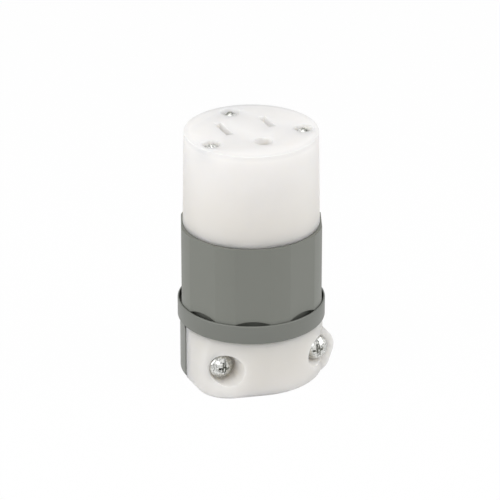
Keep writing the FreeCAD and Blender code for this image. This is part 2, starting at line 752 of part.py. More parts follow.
def make_all():
    parts = [make_front_body(), make_grip_sleeve(), make_back_housing(), make_cord_clamp_jaw()]
    for label, across, along in FACE_SCREWS:
        screw = make_screw(label, "face")
        place(screw, across, along, "face_seat")
        parts.append(screw)
    for side, across in (("left", "-screw_x"), ("right", "screw_x")):
        screw = make_screw("clamp_screw_" + side, "clamp")
        place(screw, across, "-seat_reach", "screw_z", (X_AXIS, 90))
        parts.append(screw)
        parts.append(make_insert("clamp_insert_" + side, across))
    parts.append(make_contact_retainer())
    parts.append(make_blade_contact("hot_contact", "hot"))
    parts.append(make_blade_contact("neutral_contact", "neutral"))
    parts.append(make_ground_contact())
    parts.append(make_wire_plate("hot_wire_plate", "0", "blade_y", 0))
    parts.append(make_wire_plate("neutral_wire_plate", "0", "blade_y", 180))
    parts.append(make_wire_plate("ground_wire_plate", "0", "0", -90))
    parts.append(make_terminal_screw("hot_terminal_screw", "plate_reach", "blade_y", (Y_AXIS, 90)))
    parts.append(make_terminal_screw("neutral_terminal_screw", "-plate_reach", "blade_y", (Y_AXIS, -90)))
    parts.append(make_terminal_screw("ground_terminal_screw", "0", "-plate_reach", (X_AXIS, 90)))
    return parts


parts = make_all()
doc.recompute()
for item in doc.Objects:
    if "Invalid" in item.State or "Error" in item.State:
        raise RuntimeError("%s is %s" % (item.Label, item.State))
os.makedirs("parts", exist_ok=True)
for part in parts:
    if part.Shape.isNull() or not part.Shape.isValid():
        raise RuntimeError("bad shape: " + part.Label)
    part.Shape.exportStep("parts/%s.step" % part.Label)
    print(part.Label, len(part.Shape.Solids), round(part.Shape.Volume, 1))
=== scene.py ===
import json
import math

import bmesh
import bpy
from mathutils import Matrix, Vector


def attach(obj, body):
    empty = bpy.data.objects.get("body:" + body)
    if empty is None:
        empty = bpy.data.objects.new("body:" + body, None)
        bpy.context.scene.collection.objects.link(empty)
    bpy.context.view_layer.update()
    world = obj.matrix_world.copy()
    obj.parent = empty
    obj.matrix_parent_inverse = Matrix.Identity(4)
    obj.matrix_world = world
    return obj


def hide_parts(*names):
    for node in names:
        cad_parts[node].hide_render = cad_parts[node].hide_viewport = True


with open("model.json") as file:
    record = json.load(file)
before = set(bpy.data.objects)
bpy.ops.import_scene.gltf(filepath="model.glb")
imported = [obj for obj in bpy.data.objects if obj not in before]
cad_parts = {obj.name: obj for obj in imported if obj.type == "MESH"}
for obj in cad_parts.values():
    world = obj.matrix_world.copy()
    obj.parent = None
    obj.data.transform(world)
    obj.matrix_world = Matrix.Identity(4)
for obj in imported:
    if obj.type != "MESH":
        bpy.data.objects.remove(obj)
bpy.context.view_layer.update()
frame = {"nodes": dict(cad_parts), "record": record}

MM = 0.001
# Reach of a cutting tool past the part, how far it stands proud of a face, and a small distance for picking
FAR = 30 * MM
PROUD = 2 * MM
CLOSE = MM / 10

# Heights of the stack above the cord end
JAW_TOP = 15.9 * MM
CLAMP_TOP = 16.2 * MM
SOCKET_FLOOR = 19.5 * MM
COLLAR_TOP = 21.5 * MM
SEAM = 43.8 * MM
FACE = 70.4 * MM
# Radii about the main axis
NECK_RADIUS = 19.55 * MM
COLLAR_RADIUS = 20.2 * MM
SOCKET_RADIUS = 19.75 * MM
SLEEVE_RADIUS = 19.65 * MM
SLEEVE_BORE = 17.0 * MM
BARREL_BASE = 18.62 * MM
BARREL_TOP = 18.22 * MM
# Edges: the rim of the face, the foot of the clamp, the collar, and the slight rounding of each piece
BARREL_RIM = 0.2 * MM
BASE_EDGE = 0.8 * MM
COLLAR_EDGE = 0.2 * MM
BARREL_SOFTNESS = 0.12 * MM
SLEEVE_SOFTNESS = 0.15 * MM
HOUSING_SOFTNESS = 0.08 * MM
JAW_SOFTNESS = 0.12 * MM
SCREW_SOFTNESS = 0.07 * MM
# Socket face
BLADE_X = 6.35 * MM
BLADE_Y = 4.0 * MM
SLOT_WIDTH = 2.0 * MM
SLOT_DEPTH = 14 * MM
HOT_SLOT = 7.2 * MM
NEUTRAL_SLOT = 8.8 * MM
GROUND_Y = -7.9 * MM
GROUND_RADIUS = 2.6 * MM
FACE_SCREW_CIRCLE = 14.1 * MM
FACE_SCREW_SPREAD = math.radians(107)
FACE_SINK_RADIUS = 2.65 * MM
FACE_SEAT = FACE - 2.2 * MM
# Grip flats and the arched notch at the foot of each
FLAT_COUNT = 8
FLAT_TURN = math.radians(22.5)
FLAT_WIDTH = 9.5 * MM
FLAT_REACH = math.sqrt(SLEEVE_RADIUS ** 2 - (FLAT_WIDTH / 2) ** 2)
NOTCH_RISE = 0.95 * MM
NOTCH_DEPTH = 1.2 * MM
# Cord passage: radii, heights of its funnel and mouth, and top and foot of the two grooves
THROAT_RADIUS = 11.0 * MM
CORD_RADIUS = 6.0 * MM
GROOVE_RADIUS = 6.8 * MM
MOUTH_RADIUS = 7.2 * MM
FUNNEL_TOP = 14.4 * MM
FUNNEL_FOOT = 8.2 * MM
GROOVES = ((6.6 * MM, 5.5 * MM), (3.9 * MM, 2.8 * MM))
MOUTH_TOP = 1.2 * MM
# Cord clamp: half of the split, and the screws' places, seats and holes
SPLIT = 0.3 * MM
SCREW_X = 14.1 * MM
SCREW_Z = 7.9 * MM
SEAT_Y = -11.6 * MM
SEAT_RADIUS = 3.8 * MM
SEAT_DRAFT = 0.16
CLAMP_HOLE = 2.05 * MM
INSERT_HOLE = 2.82 * MM
INSERT_LENGTH = 6.6 * MM
# Lug on the right of the jaw
LUG_RADIUS = 5.5 * MM
LUG_ROOT_RADIUS = 5.8 * MM
LUG_FOOT_Z = 4.5 * MM
LUG_FOOT_RADIUS = 4.3 * MM
# Ear on the left of the jaw, at its foot and at the screw seat: x, reach towards the viewer and radius
FOOT_EAR = (-10.5 * MM, 8.5 * MM, 9.0 * MM)
SEAT_EAR = (-15.0 * MM, 8.8 * MM, 4.6 * MM)
EAR_LEVELS = 16
# Screws: radii of shank and head, heights of the head and its brim, and the slot and cross of the drive
CLAMP_SCREW = {"shank": 1.75 * MM, "length": 17.4 * MM, "head": 3.4 * MM, "height": 2.2 * MM,
               "brim": 0.5 * MM, "slot": 1.15 * MM, "slot_depth": 0.9 * MM, "span": 4.5 * MM,
               "cross_depth": 2.3 * MM}
FACE_SCREW = {"shank": 1.42 * MM, "length": 20 * MM, "head": 2.4 * MM, "height": 2.1 * MM,
              "brim": 0.46 * MM, "slot": 0.8 * MM, "slot_depth": 0.7 * MM, "span": 2.9 * MM,
              "cross_depth": 1.9 * MM}
SCREW_TIP = 0.4 * MM
DOME_STEPS = 12
CROSS_ARM_SHARE = 0.4
CROSS_TAPER = 0.5
CLAMP_TURNS = (math.radians(84), math.radians(97))
FACE_TURNS = (0.3, 1.1, 2.0)

# Surface patterns: clouding of moulded nylon, spark-eroded grain of its mould, marks of turning and plating,
# which also paint bright and dark glints into the metal's colour
CLOUD_SIZE = 11 * MM
GRAIN_SIZE = 0.2 * MM
MARK_AND_GLINT_SIZE = 0.55 * MM
GRAIN_RELIEF = 0.03 * MM
MARK_RELIEF = 0.05 * MM
# How far red, green and blue light spread in white nylon
SCATTER_DEPTH = (8.0 * MM, 7.8 * MM, 7.2 * MM)
NYLON_IOR = 1.53
# Band along the rim of the face, darkened with painted shade because the lamps and light scattered in the
# nylon make the rim glow
RIM_BAND = 1.6 * MM
RIM_PAINTED_SHADE = 0.86
# Tones of the moulded pieces: height in mm above the cord end, and colour; the white and grey ramps are
# painted shade
# Painted shade on the white nylon: darker low on the clamp and beside the grey pieces, lighter towards the
# top of the barrel as if lit from above
WHITE_SHADE_TONES = [(0, "#E1DEDA"), (15, "#DAD7D1"), (44, "#E3DFD8"), (64, "#E9E7E5")]
# Painted shade on the grey nylon: a darker band on the collar, whose front gets less light
GREY_SHADE_TONES = [(0, "#767872"), (16, "#767872"), (16.5, "#6F716B"),
              (21.4, "#6F716B"), (22.5, "#74766F"), (70, "#71736C")]
BLACK_TONES = [(0, "#171717"), (70, "#1E1E1D")]

# Stage: floor size in m, share of the floor that shows as plain white, and strength of the white surroundings
FLOOR_SIZE = 6
FLOOR_GLOW = 0.97
WORLD_LIGHT = 0.42
WORLD_SEEN = 1.0
# Softboxes: name, place in m, side in m and power in W
SOFTBOXES = [
    ("top_box", (-0.1, -0.1, 0.7), 0.5, 1.9),
    ("left_box", (-0.64, -0.02, 0.3), 0.4, 1.68),
    ("right_box", (0.5, -0.36, 0.3), 0.4, 1.5),
    ("front_fill", (-0.3, -0.66, 0.33), 0.3, 0.5),
]
# Camera: long lens from the front left, a little above, fitted to the photograph
CAMERA_AZIMUTH = math.radians(-24)
CAMERA_ELEVATION = math.radians(24.83)
CAMERA_DISTANCE = 0.956
CAMERA_AIM = Vector((0, 0, 35.0 * MM))
CAMERA_LENS = 252.6
CAMERA_SENSOR = 36
CAMERA_SHIFT = -1.26 / 500
CAMERA_NEAR = 0.01


# Working by hand: selecting, adding and cutting

def clear_selection():
    bpy.ops.object.select_all(action="DESELECT")


def select_only(piece):
    clear_selection()
    bpy.context.view_layer.objects.active = piece
    piece.select_set(True)


def apply_transform():
    bpy.ops.object.transform_apply(location=True, rotation=True, scale=True)


def finish_primitive(name):
    """Names the primitive just added and puts its place into its mesh."""
    piece = bpy.context.object
    piece.name = name
    apply_transform()
    return piece


def edit(piece):
    select_only(piece)
    bpy.ops.object.mode_set(mode="EDIT")
    bpy.ops.mesh.select_mode(type="VERT")


def leave_edit():
    bpy.ops.object.mode_set(mode="OBJECT")


def pick_points(piece, test):
    """Selects the points of the edited piece that the test accepts."""
    mesh = bmesh.from_edit_mesh(piece.data)
    bpy.ops.mesh.select_all(action="DESELECT")
    for point in mesh.verts:
        point.select = test(point.co)
    mesh.select_flush_mode()
    bmesh.update_edit_mesh(piece.data)


def pick_edges(piece, test):
    """Selects the edges of the edited piece whose two ends the test accepts."""
    bpy.ops.mesh.select_mode(type="EDGE")
    bpy.ops.mesh.select_all(action="DESELECT")
    mesh = bmesh.from_edit_mesh(piece.data)
    for line in mesh.edges:
        line.select = test(line.verts[0].co) and test(line.verts[1].co)
    mesh.select_flush_mode()
    bmesh.update_edit_mesh(piece.data)


def add_drum(name, radius, low, high, sides=160, x=0.0, y=0.0):
    """An upright round block."""
    clear_selection()
    bpy.ops.mesh.primitive_cylinder_add(vertices=sides, radius=radius, depth=high - low,
                                        location=(x, y, (low + high) / 2))
    return finish_primitive(name)


def add_rod(name, radius, x, near, far):
    """A round block along the Y axis, at the height of the clamp screws."""
    clear_selection()
    bpy.ops.mesh.primitive_cylinder_add(vertices=64, radius=radius, depth=far - near,
                                        location=(x, (near + far) / 2, SCREW_Z), rotation=(math.pi / 2, 0, 0))
    return finish_primitive(name)


def add_block(name, low, high):
    clear_selection()
    low, high = Vector(low), Vector(high)
    bpy.ops.mesh.primitive_cube_add(size=1, location=(low + high) / 2)
    bpy.context.object.scale = high - low
    return finish_primitive(name)


def turn_profile(name, profile, steps=160):
    """Spins a profile of radius and height about the main axis."""
    clear_selection()
    start = profile[0]
    bpy.ops.mesh.primitive_plane_add(size=MM, location=(start[0], 0, start[1]))
    piece = finish_primitive(name)
    edit(piece)
    bpy.ops.mesh.select_all(action="SELECT")
    bpy.ops.mesh.merge(type="CENTER")
    for here, there in zip(profile, profile[1:]):
        step = (there[0] - here[0], 0, there[1] - here[1])
        bpy.ops.mesh.extrude_region_move(TRANSFORM_OT_translate={"value": step})
    bpy.ops.mesh.select_all(action="SELECT")
    bpy.ops.mesh.remove_doubles(threshold=MM / 1000)
    leave_edit()
    modifier = piece.modifiers.new("turn", "SCREW")
    modifier.steps = steps
    modifier.render_steps = steps
    modifier.use_merge_vertices = True
    modifier.merge_threshold = MM / 1000
    apply_modifier(piece, modifier)
    edit(piece)
    bpy.ops.mesh.select_all(action="SELECT")
    bpy.ops.mesh.normals_make_consistent(inside=False)
    leave_edit()
    return piece


def apply_modifier(piece, modifier):
    select_only(piece)
    bpy.ops.object.modifier_apply(modifier=modifier.name)


def delete(piece):
    clear_selection()
    piece.select_set(True)
    bpy.ops.object.delete()


def apply_boolean(piece, tool, operation):
    """Cuts or joins the piece with the tool, which is then deleted."""
    modifier = piece.modifiers.new("boolean", "BOOLEAN")
    modifier.operation = operation
    modifier.solver = "EXACT"
    modifier.object = tool
    apply_modifier(piece, modifier)
    delete(tool)


def cut(piece, tool):
    apply_boolean(piece, tool, "DIFFERENCE")


def soften(piece, width, angle=35):
    """Rounds the sharp edges of a finished piece and shades it smooth."""
    modifier = piece.modifiers.new("edge", "BEVEL")
    modifier.width = width
    modifier.segments = 2
    modifier.limit_method = "ANGLE"
    modifier.angle_limit = math.radians(angle)
    apply_modifier(piece, modifier)
    bpy.ops.object.shade_smooth_by_angle(angle=math.radians(angle))


def copy_turned(piece, angle):
    """A copy of the piece with its own mesh, turned about the main axis."""
    select_only(piece)
    bpy.ops.object.duplicate(linked=False)
    copy = bpy.context.object
    copy.rotation_euler = (0, 0, angle)
    apply_transform()
    return copy


def join_all(pieces):
    clear_selection()
    for piece in pieces:
        piece.select_set(True)
    bpy.context.view_layer.objects.active = pieces[0]
    bpy.ops.object.join()
    return bpy.context.object


# Finishes

def linear(code):
    """Linear colour of an sRGB hex code."""
    parts = [int(code[at:at + 2], 16) / 255 for at in (1, 3, 5)]
    return tuple(p / 12.92 if p <= 0.04045 else ((p + 0.055) / 1.055) ** 2.4 for p in parts) + (1.0,)


def add_node(tree, kind, settings=None, links=None):
    """A shader node with its settings, and its inputs linked to other nodes' outputs."""
    node = tree.nodes.new(kind)
    for key, value in (settings or {}).items():
        if isinstance(key, int) or key in node.inputs:
            node.inputs[key].default_value = value
        else:
            setattr(node, key, value)
    for key, output in (links or {}).items():
        tree.links.new(output, node.inputs[key])
    return node


def new_material(name):
    material = bpy.data.materials.new(name)
    material.use_nodes = True
    material.node_tree.nodes.clear()
    return material, material.node_tree


def close_material(tree, shader):
    add_node(tree, "ShaderNodeOutputMaterial", links={"Surface": shader.outputs[0]})


def add_height_shade(tree, height, height_shade_tones):
    """Colour that changes with the height above the cord end: painted shade on the moulded pieces."""
    level = add_node(tree, "ShaderNodeMapRange", {"From Min": 0.0, "From Max": FACE}, {"Value": height})
    painted_light_ramp = add_node(tree, "ShaderNodeValToRGB", links={"Fac": level.outputs["Result"]})
    stops = painted_light_ramp.color_ramp.elements
    while len(stops) < len(height_shade_tones):
        stops.new(1.0)
    for stop, (at, code) in zip(stops, height_shade_tones):
        stop.position = at * MM / FACE
        stop.color = linear(code)
    return painted_light_ramp.outputs["Color"]


def add_rim_painted_shade(tree, place, height):
    """Painted shade on the rim of the socket face: 1 away from it, falling off across its band."""
    plan = add_node(tree, "ShaderNodeVectorMath", {"operation": "MULTIPLY", 1: (1, 1, 0)}, {0: place})
    radius = add_node(tree, "ShaderNodeVectorMath", {"operation": "LENGTH"}, {0: plan.outputs["Vector"]})
    outward = add_node(tree, "ShaderNodeMath", {"operation": "ADD"}, {0: radius.outputs["Value"], 1: height})
    end = FACE + BARREL_TOP
    rim = add_node(tree, "ShaderNodeMapRange",
                   {"From Min": end - RIM_BAND, "From Max": end, "To Min": 1.0, "To Max": RIM_PAINTED_SHADE},
                   {"Value": outward.outputs["Value"]})
    return rim.outputs["Result"]


def moulded_nylon(name, height_shade_tones, rough, scatter):
    """Satin moulded nylon: painted shade by height and along the rim of the face, faint clouding and a fine
    mould texture.
    """
    material, tree = new_material(name)
    place = add_node(tree, "ShaderNodeTexCoord").outputs["Object"]
    height = add_node(tree, "ShaderNodeSeparateXYZ", links={0: place}).outputs["Z"]
    cloud = add_node(tree, "ShaderNodeTexNoise", {"Scale": 1 / CLOUD_SIZE, "Detail": 3.0, "Roughness": 0.55},
                     {"Vector": place})
    shade = add_node(tree, "ShaderNodeMapRange", {"To Min": 0.97, "To Max": 1.03},
                     {"Value": cloud.outputs["Fac"]})
    # Faint clouding times the painted shade along the rim of the face
    value = add_node(tree, "ShaderNodeMath", {"operation": "MULTIPLY"},
                     {0: shade.outputs["Result"], 1: add_rim_painted_shade(tree, place, height)})
    # Base colour from the painted height shade, scaled by the clouding and the rim's painted shade
    colour = add_node(tree, "ShaderNodeHueSaturation",
                      links={"Color": add_height_shade(tree, height, height_shade_tones), "Value": value.outputs["Value"]})
    gloss = add_node(tree, "ShaderNodeMapRange", {"To Min": rough - 0.05, "To Max": rough + 0.05},
                     {"Value": cloud.outputs["Fac"]})
    grain = add_node(tree, "ShaderNodeTexNoise", {"Scale": 1 / GRAIN_SIZE, "Detail": 2.0}, {"Vector": place})
    bump = add_node(tree, "ShaderNodeBump", {"Strength": 0.12, "Distance": GRAIN_RELIEF},
                    {"Height": grain.outputs["Fac"]})
    settings = {"IOR": NYLON_IOR}
    if scatter:
        settings.update({"Subsurface Weight": 1.0, "Subsurface Radius": SCATTER_DEPTH,
                         "Subsurface Scale": 1.0})
    shader = add_node(tree, "ShaderNodeBsdfPrincipled", settings,
                      {"Base Color": colour.outputs["Color"], "Roughness": gloss.outputs["Result"],
                       "Normal": bump.outputs["Normal"]})
    close_material(tree, shader)
    return material


def turned_metal(name, dark, light, rough):
    """Plated or bare metal: a fine turning pattern in its relief and in its colour, where it paints bright
    and dark glints that break up the highlight.
    """
    material, tree = new_material(name)
    place = add_node(tree, "ShaderNodeTexCoord")
    marks_and_glints = add_node(tree, "ShaderNodeTexNoise", {"Scale": 1 / MARK_AND_GLINT_SIZE, "Detail": 2.0, "Roughness": 0.5},
                     {"Vector": place.outputs["Object"]})
    # Colour between the dark and light tones: painted glints, strong on the plated steel
    painted_light_ramp = add_node(tree, "ShaderNodeValToRGB", links={"Fac": marks_and_glints.outputs["Fac"]})
    for stop, position, code in zip(painted_light_ramp.color_ramp.elements, (0.25, 0.75), (dark, light)):
        stop.position = position
        stop.color = linear(code)
    gloss = add_node(tree, "ShaderNodeMapRange", {"To Min": rough - 0.06, "To Max": rough + 0.08},
                     {"Value": marks_and_glints.outputs["Fac"]})
    bump = add_node(tree, "ShaderNodeBump", {"Strength": 0.35, "Distance": MARK_RELIEF},
                    {"Height": marks_and_glints.outputs["Fac"]})
    shader = add_node(tree, "ShaderNodeBsdfPrincipled", {"Metallic": 1.0},
                      {"Base Color": painted_light_ramp.outputs["Color"], "Roughness": gloss.outputs["Result"],
                       "Normal": bump.outputs["Normal"]})
    close_material(tree, shader)
    return material


SLOT_FINISH = {
    # Soft and a little cloudy, and it lets light through; its colour carries painted shade, darker low down
    # and beside the grey pieces, lighter towards the top
    "white_nylon": moulded_nylon("white moulded nylon with painted shade", WHITE_SHADE_TONES, 0.62, True),
    # Opaque, with a satin sheen; its colour carries painted shade, a little darker on the collar where less
    # light falls
    "grey_nylon": moulded_nylon("grey moulded nylon with painted shade", GREY_SHADE_TONES, 0.45, False),
    # Nearly black and dull, so that the contacts stand out from it
    "black_insulator": moulded_nylon("black moulded insulator", BLACK_TONES, 0.5, False),
    # Bright zinc on turned steel, with small marks and painted bright and dark glints that break up what the
    # heads mirror
    "plated_steel": turned_metal("bright zinc-plated steel with painted glints", "#8E8F8C", "#F4F4F0", 0.13),
    # Warm yellow metal, softly shiny
    "contact_brass": turned_metal("bright brass", "#C9A558", "#D9B768", 0.25),
    # Paler and greyer than the brass, so that the neutral terminal is known by its colour
    "nickel_brass": turned_metal("nickel-plated brass", "#C2BFB6", "#D4D1C8", 0.25),
    # Green metal, so that the ground terminal is known by its colour
    "green_brass": turned_metal("green dyed brass", "#1D5A2A", "#2B7339", 0.35),
}


def dress(piece, slot, body, *nodes):
    """Gives a finished piece its material and body, and hides the CAD nodes that it stands for."""
    piece.data.materials.clear()
    piece.data.materials.append(SLOT_FINISH[slot])
    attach(piece, body)
    if nodes:
        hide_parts(*nodes)


# Barrel

def face_screw_places():
    side_x = FACE_SCREW_CIRCLE * math.sin(FACE_SCREW_SPREAD)
    side_y = FACE_SCREW_CIRCLE * math.cos(FACE_SCREW_SPREAD)
    return [("rear", 0.0, FACE_SCREW_CIRCLE), ("left", -side_x, side_y), ("right", side_x, side_y)]


def add_slot_tool(name, x, length):
    return add_block(name, (x - SLOT_WIDTH / 2, BLADE_Y - length / 2, FACE - SLOT_DEPTH),
                     (x + SLOT_WIDTH / 2, BLADE_Y + length / 2, FACE + PROUD))


def build_barrel():
    """White barrel: drafted side, rounded rim, slots, ground hole and sunk screw seats."""
    barrel = add_drum("socket_barrel", BARREL_BASE, SEAM, FACE)
    edit(barrel)
    pick_points(barrel, lambda co: co.z > FACE - CLOSE)
    draft = BARREL_TOP / BARREL_BASE
    bpy.ops.transform.resize(value=(draft, draft, 1), center_override=(0, 0, FACE))
    pick_edges(barrel, lambda co: co.z > FACE - CLOSE)
    bpy.ops.mesh.bevel(offset=BARREL_RIM, segments=4, affect="EDGES")
    leave_edit()

    tools = [
        add_slot_tool("hot_slot", BLADE_X, HOT_SLOT),
        add_slot_tool("neutral_slot", -BLADE_X, NEUTRAL_SLOT),
        add_drum("ground_hole", GROUND_RADIUS, FACE - SLOT_DEPTH, FACE + PROUD, sides=48, y=GROUND_Y),
    ]
    for _, x, y in face_screw_places():
        tools.append(add_drum("screw_sink", FACE_SINK_RADIUS, FACE_SEAT, FACE + PROUD, sides=48, x=x, y=y))
    cut(barrel, join_all(tools))
    soften(barrel, BARREL_SOFTNESS, angle=50)
    dress(barrel, "white_nylon", "housing", "front_body")


# Grip sleeve

def cut_all_round(piece, tool):
    """Cuts the piece at each of the grip flats with a turned copy of the tool."""
    turns = [FLAT_TURN + step * 2 * math.pi / FLAT_COUNT for step in range(FLAT_COUNT)]
    copies = [copy_turned(tool, angle) for angle in turns]
    delete(tool)
    for copy in copies:
        cut(piece, copy)


def add_notch_tool():
    """Arched block that cuts the notch at the foot of a flat."""
    half = FLAT_WIDTH / 2
    arc = (half ** 2 + NOTCH_RISE ** 2) / (2 * NOTCH_RISE)
    middle = (FLAT_REACH - NOTCH_DEPTH / 2 + PROUD / 2, 0, COLLAR_TOP + NOTCH_RISE - arc)
    clear_selection()
    bpy.ops.mesh.primitive_cylinder_add(vertices=256, radius=arc, depth=NOTCH_DEPTH + PROUD, location=middle,
                                        rotation=(0, math.pi / 2, 0))
    arch = finish_primitive("notch_tool")
    edit(arch)
    for point, normal in (((0, half, 0), (0, 1, 0)), ((0, -half, 0), (0, -1, 0)),
                          ((0, 0, SOCKET_FLOOR - MM), (0, 0, -1))):
        bpy.ops.mesh.select_all(action="SELECT")
        bpy.ops.mesh.bisect(plane_co=point, plane_no=normal, use_fill=True, clear_outer=True)
    leave_edit()
    return arch


def build_sleeve():
    """Grey sleeve with eight finger flats, each with an arched notch at its foot."""
    sleeve = add_drum("grip_sleeve_skin", SLEEVE_RADIUS, SOCKET_FLOOR, SEAM, sides=256)
    cut(sleeve, add_drum("sleeve_bore", SLEEVE_BORE, SOCKET_FLOOR - MM, SEAM + MM))
    cut_all_round(sleeve, add_block("flat_tool", (FLAT_REACH, -FLAT_WIDTH, SOCKET_FLOOR - MM),
                                    (SLEEVE_RADIUS + MM, FLAT_WIDTH, SEAM + MM)))
    cut_all_round(sleeve, add_notch_tool())
    soften(sleeve, SLEEVE_SOFTNESS, angle=8)
    dress(sleeve, "grey_nylon", "housing", "grip_sleeve")


# Back housing

def cord_passage(top):
    """Radius and height of each step of the cord passage, from the given top down to its mouth."""
    steps = [(THROAT_RADIUS, top), (THROAT_RADIUS, FUNNEL_TOP), (CORD_RADIUS, FUNNEL_FOOT)]
    for high, low in GROOVES:
        steps += [(CORD_RADIUS, high), (GROOVE_RADIUS, high), (GROOVE_RADIUS, low), (CORD_RADIUS, low)]
    return steps + [(CORD_RADIUS, MOUTH_TOP), (MOUTH_RADIUS, 0.0)]


def build_back_housing():
    """Grey collar cup and the rear half of the cord clamp."""
    profile = cord_passage(SOCKET_FLOOR) + [
        (NECK_RADIUS - BASE_EDGE, 0.0),
        (NECK_RADIUS, BASE_EDGE),
        (NECK_RADIUS, CLAMP_TOP),
        (COLLAR_RADIUS - COLLAR_EDGE, CLAMP_TOP),
        (COLLAR_RADIUS, CLAMP_TOP + COLLAR_EDGE),
        (COLLAR_RADIUS, COLLAR_TOP - COLLAR_EDGE),
        (COLLAR_RADIUS - COLLAR_EDGE, COLLAR_TOP),
        (SOCKET_RADIUS, COLLAR_TOP),
        (SOCKET_RADIUS, SOCKET_FLOOR),
        (THROAT_RADIUS, SOCKET_FLOOR),
    ]
    housing = turn_profile("collar_housing", profile)
    cut(housing, add_block("front_half", (-FAR, -FAR, -FAR), (FAR, SPLIT, CLAMP_TOP)))
    for x in (-SCREW_X, SCREW_X):
        cut(housing, add_rod("insert_hole", INSERT_HOLE, x, SPLIT - MM, SPLIT + INSERT_LENGTH))
    soften(housing, HOUSING_SOFTNESS)
    dress(housing, "grey_nylon", "housing", "back_housing")


# Cord clamp jaw

def draw_out(jaw, x, reach, radius, share):
    """Draws the jaw out over an ear, by a share that depends on the height."""
    hull = join_all([add_drum("reach", NECK_RADIUS, -FAR, FAR),
                     add_drum("ear", radius, -FAR, FAR, sides=72, x=x, y=-reach)])
    edit(hull)
    bpy.ops.mesh.select_all(action="SELECT")
    bpy.ops.mesh.convex_hull()
    leave_edit()
    group = jaw.vertex_groups.new(name="ear")
    for point in jaw.data.vertices:
        group.add([point.index], share(point.co.z), "REPLACE")
    modifier = jaw.modifiers.new("ear", "SHRINKWRAP")
    modifier.target = hull
    modifier.vertex_group = group.name
    apply_modifier(jaw, modifier)
    jaw.vertex_groups.clear()
    delete(hull)


def foot_share(z):
    """The whole of the foot's ear below the screw, and nothing above it."""
    return float(z < SCREW_Z)


def seat_share(z):
    """The seat's ear in full at the height of the screw, less and less above and below it."""
    return min(z / SCREW_Z, (JAW_TOP - z) / (JAW_TOP - SCREW_Z))


def add_eared_round():
    """Round of the jaw with an ear on the left that fades away under the collar."""
    jaw = add_drum("clamp_jaw", NECK_RADIUS, 0.0, JAW_TOP)
    edit(jaw)
    for level in range(1, EAR_LEVELS):
        bpy.ops.mesh.select_all(action="SELECT")
        bpy.ops.mesh.bisect(plane_co=(0, 0, JAW_TOP * level / EAR_LEVELS), plane_no=(0, 0, 1))
    leave_edit()
    draw_out(jaw, *FOOT_EAR, foot_share)
    draw_out(jaw, *SEAT_EAR, seat_share)
    edit(jaw)
    pick_edges(jaw, lambda co: co.z < CLOSE)
    bpy.ops.mesh.bevel(offset=BASE_EDGE, segments=5, affect="EDGES")
    leave_edit()
    return jaw


def add_lug():
    """Screw lug on the right: a round end drawn in to a small foot, growing wider towards its root."""
    clear_selection()
    bpy.ops.mesh.primitive_circle_add(vertices=72, radius=LUG_RADIUS, location=(SCREW_X, SEAT_Y, SCREW_Z),
                                      rotation=(math.pi / 2, 0, 0), fill_type="NGON")
    lug = finish_primitive("screw_lug")
    centre = (SCREW_X, 0, SCREW_Z)
    lean = (LUG_RADIUS - LUG_FOOT_RADIUS) / (SCREW_Z - LUG_FOOT_Z)
    low = SCREW_Z - LUG_RADIUS * lean
    edit(lug)
    pick_points(lug, lambda co: co.z < low + MM / 100)
    shrink = LUG_FOOT_RADIUS / LUG_RADIUS
    bpy.ops.transform.resize(value=(shrink, 1, shrink), center_override=centre)
    bpy.ops.transform.translate(value=(0, 0, LUG_FOOT_Z - SCREW_Z))
    bpy.ops.mesh.select_all(action="SELECT")
    bpy.ops.mesh.extrude_region_move(TRANSFORM_OT_translate={"value": (0, -SEAT_Y - SPLIT, 0)})
    waist = LUG_FOOT_Z + LUG_FOOT_RADIUS
    pick_points(lug, lambda co: co.y > -MM and co.z > waist)
    grow = LUG_ROOT_RADIUS / LUG_RADIUS
    bpy.ops.transform.resize(value=(grow, 1, grow), center_override=centre)
    bpy.ops.transform.translate(value=(LUG_RADIUS - LUG_ROOT_RADIUS, 0, 0))
    bpy.ops.mesh.select_all(action="SELECT")
    bpy.ops.mesh.normals_make_consistent(inside=False)
    leave_edit()
    return lug


def add_seat_tool(x):
    """Cutter of a screw seat, with draft on its wall."""
    clear_selection()
    reach = SEAT_Y + FAR
    bpy.ops.mesh.primitive_cone_add(vertices=64, depth=reach, radius1=SEAT_RADIUS,
                                    radius2=SEAT_RADIUS + reach * SEAT_DRAFT,
                                    location=(x, (SEAT_Y - FAR) / 2, SCREW_Z), rotation=(math.pi / 2, 0, 0))
    return finish_primitive("screw_seat")


def build_jaw():
    """White front half of the cord clamp: an ear on the left, a round lug on the right, sunk screw seats."""
    jaw = add_eared_round()
    cut(jaw, add_block("rear_half", (-FAR, -SPLIT, -FAR), (FAR, FAR, FAR)))
    apply_boolean(jaw, add_lug(), "UNION")
    above = [(0.0, JAW_TOP + MM), (THROAT_RADIUS, JAW_TOP + MM)]
    below = [(MOUTH_RADIUS, -MM), (0.0, -MM)]
    cut(jaw, turn_profile("passage_tool", above + cord_passage(JAW_TOP) + below))
    for x in (-SCREW_X, SCREW_X):
        cut(jaw, add_seat_tool(x))
        cut(jaw, add_rod("screw_hole", CLAMP_HOLE, x, -FAR, MM))
    soften(jaw, JAW_SOFTNESS)
    dress(jaw, "white_nylon", "jaw", "cord_clamp_jaw")


# Screws

def screw_profile(shank, length, head, height, brim):
    """Radius and height along a domed head, its brim and a plain shank."""
    drop = height - brim
    dome = (head ** 2 + drop ** 2) / (2 * drop)
    reach = math.asin(head / dome)
    profile = [(0.0, height)]
    for step in range(1, DOME_STEPS + 1):
        angle = reach * step / DOME_STEPS
        profile.append((dome * math.sin(angle), height - dome * (1 - math.cos(angle))))
    return profile + [(head, 0.0), (shank, 0.0), (shank, SCREW_TIP - length),
                      (shank - SCREW_TIP, -length), (0.0, -length)]


